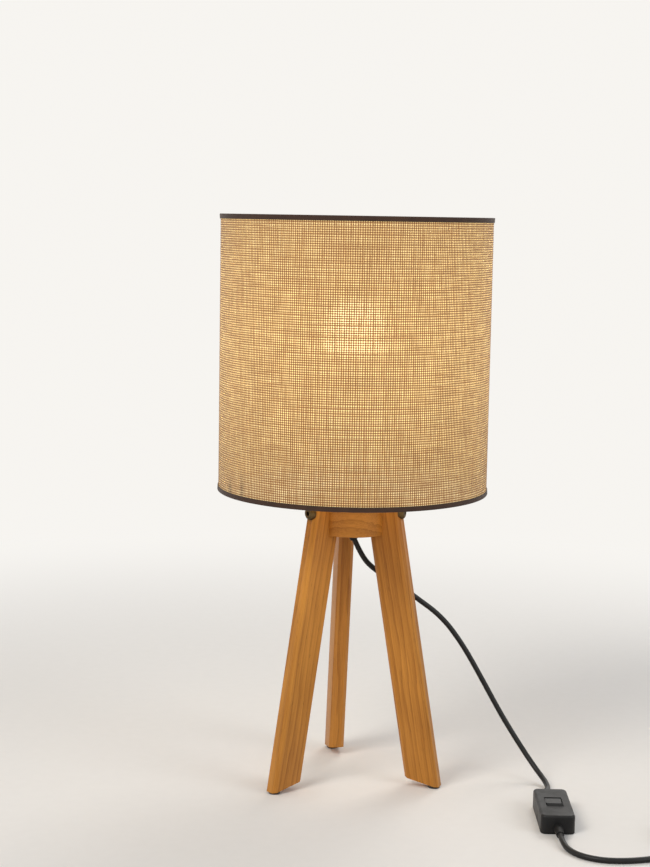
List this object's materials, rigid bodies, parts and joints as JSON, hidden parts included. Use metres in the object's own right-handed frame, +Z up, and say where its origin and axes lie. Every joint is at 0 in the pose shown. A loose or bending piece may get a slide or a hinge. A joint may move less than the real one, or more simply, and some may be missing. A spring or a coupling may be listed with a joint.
{
  "type": "tripod table lamp",
  "caption": "Small wooden tripod table lamp with a woven drum shade, a lampholder with bulb, and a cord with a rocker switch and plug.",
  "frame": {"origin": "on the surface that the lamp stands on, under the axis of the shade and the hub", "axes": "+Z up, +Y away from the picture's camera, +X to its right; the back leg stands at 100 degrees from +X"},
  "size_m": [0.4891, 0.341, 0.5295],
  "materials": {
    "wood": "satin, straight grain along each piece",
    "bronzed_steel": "bronzed, semi-matt",
    "brass": "machined",
    "felt": "dense dark felt",
    "zinc_steel": "zinc plated",
    "black_rubber": "matt",
    "cord_jacket": "smooth PVC, slight sheen",
    "holder_plastic": "moulded, off-white",
    "holder_ceramic": "unglazed",
    "bulb_glass": "frosted, lit warm",
    "bulb_plastic": "smooth white",
    "nickel": "nickel plated",
    "bulb_insulator": "black insulating glass",
    "shade_fabric": "open basket weave of cream and rust yarns",
    "shade_liner": "translucent white laminate",
    "painted_wire": "white powder coat",
    "binding_tape": "dark brown woven tape",
    "black_plastic": "fine moulded texture",
    "core_insulation": "PVC",
    "tie_strap": "soft strap"
  },
  "bodies": {
    "tripod": {"centre_contact": "brass", "coil_tie": "tie_strap", "contact_puck": "holder_ceramic", "cord_coil": "cord_jacket", "cord_gland": "black_rubber", "cord_lower": "cord_jacket", "cord_tail": "cord_jacket", "cord_upper": "cord_jacket", "foot_pads": "felt", "holder_cap": "holder_plastic", "holder_skirt": "holder_plastic", "hub": "wood", "inner_cord": "cord_jacket", "leg_back": "wood", "leg_bolts": "bronzed_steel", "leg_front_left": "wood", "leg_front_right": "wood", "leg_inserts": "brass", "pin_sleeves": "black_plastic", "plug_body": "black_plastic", "plug_pins": "nickel", "riser_tube": "zinc_steel", "rocker_pin": "zinc_steel", "screw_shell": "brass", "seat_plate": "zinc_steel", "switch_base": "black_plastic", "switch_contacts": "brass", "switch_cover": "black_plastic", "switch_leads": "core_insulation", "switch_reliefs": "black_rubber", "switch_screws": "zinc_steel", "terminal_screws": "brass", "threaded_tube": "zinc_steel", "tube_nut": "zinc_steel", "tube_washer": "zinc_steel"},
    "bulb": {"bulb_body": "bulb_plastic", "bulb_cap": "nickel", "bulb_globe": "bulb_glass", "bulb_insulator": "bulb_insulator", "bulb_tip": "zinc_steel", "led_plate": "bulb_plastic"},
    "shade": {"bottom_binding": "binding_tape", "shade_fabric": "shade_fabric", "shade_liner": "shade_liner", "shade_spider": "painted_wire", "top_binding": "binding_tape", "top_wire": "painted_wire"},
    "shade_ring": {"shade_ring": "holder_plastic"},
    "switch_rocker": {"switch_rocker": "black_plastic"}
  },
  "joints": [
    {"name": "bulb_turn", "type": "hinge", "parent": "tripod", "child": "bulb", "pos_m": [0, 0, 0.362], "axis": [0, 0, 1], "continuous": true},
    {"name": "shade_turn", "type": "hinge", "parent": "tripod", "child": "shade", "pos_m": [0, 0, 0.34305], "axis": [0, 0, 1], "continuous": true},
    {"name": "ring_turn", "type": "hinge", "parent": "tripod", "child": "shade_ring", "pos_m": [0, 0, 0.3485], "axis": [0, 0, 1], "continuous": true},
    {"name": "rocker_tip", "type": "hinge", "parent": "tripod", "child": "switch_rocker", "pos_m": [0.184, -0.112, 0.0125], "axis": [1, 0, 0], "range_deg": [0, 14]}
  ]
}
